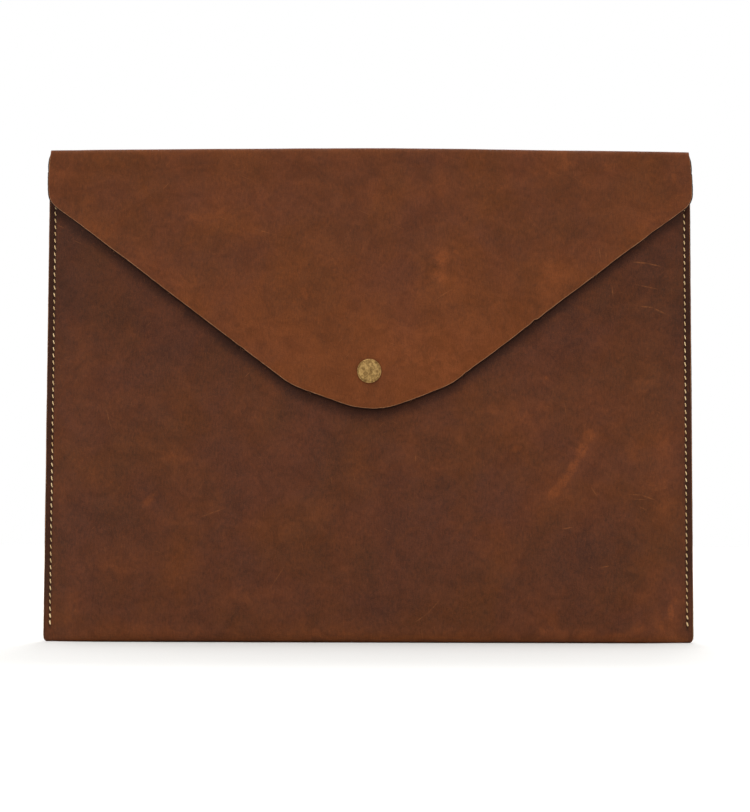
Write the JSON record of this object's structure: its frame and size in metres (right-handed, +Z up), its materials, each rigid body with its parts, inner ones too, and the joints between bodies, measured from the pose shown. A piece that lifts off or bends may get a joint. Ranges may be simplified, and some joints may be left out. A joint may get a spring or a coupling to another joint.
{
  "type": "tablet sleeve",
  "caption": "Leather envelope sleeve for a large tablet: sewn pouch with a fold-over pointed flap and a magnetic snap.",
  "frame": {"origin": "centre of the sleeve's footprint at the bottom fold, on the plane it stands on", "axes": "+X across the sleeve, +Z up from the bottom fold to the top fold, the flap faces -Y and the plain back faces +Y"},
  "size_m": [0.322, 0.0174, 0.245],
  "materials": {
    "leather": "waxed pull-up leather, low sheen, cloudy colour with lighter worn folds",
    "thread": "waxed twisted thread, matt",
    "snap_metal": "aged brass, brushed and slightly tarnished",
    "magnet": "nickel plated, satin"
  },
  "bodies": {
    "pouch": {"back_panel": "leather", "front_panel": "leather", "front_border_left": "leather", "front_border_right": "leather", "bottom_fold": "leather", "thread_front_left": "thread", "thread_front_right": "thread", "thread_back_left": "thread", "thread_back_right": "thread", "snap_socket": "snap_metal", "snap_magnet": "magnet", "snap_rivet": "snap_metal"},
    "spine": {"flap_fold": "leather"},
    "flap": {"flap": "leather", "snap_cap": "snap_metal", "snap_stud": "snap_metal"}
  },
  "joints": [
    {"name": "back_crease", "type": "hinge", "parent": "pouch", "child": "spine", "pos_m": [0, 0.00806, 0.24436], "axis": [-1, 0, 0], "range_deg": [0, 90]},
    {"name": "front_crease", "type": "hinge", "parent": "spine", "child": "flap", "pos_m": [0, -0.00646, 0.24436], "axis": [-1, 0, 0], "range_deg": [0, 90]}
  ]
}
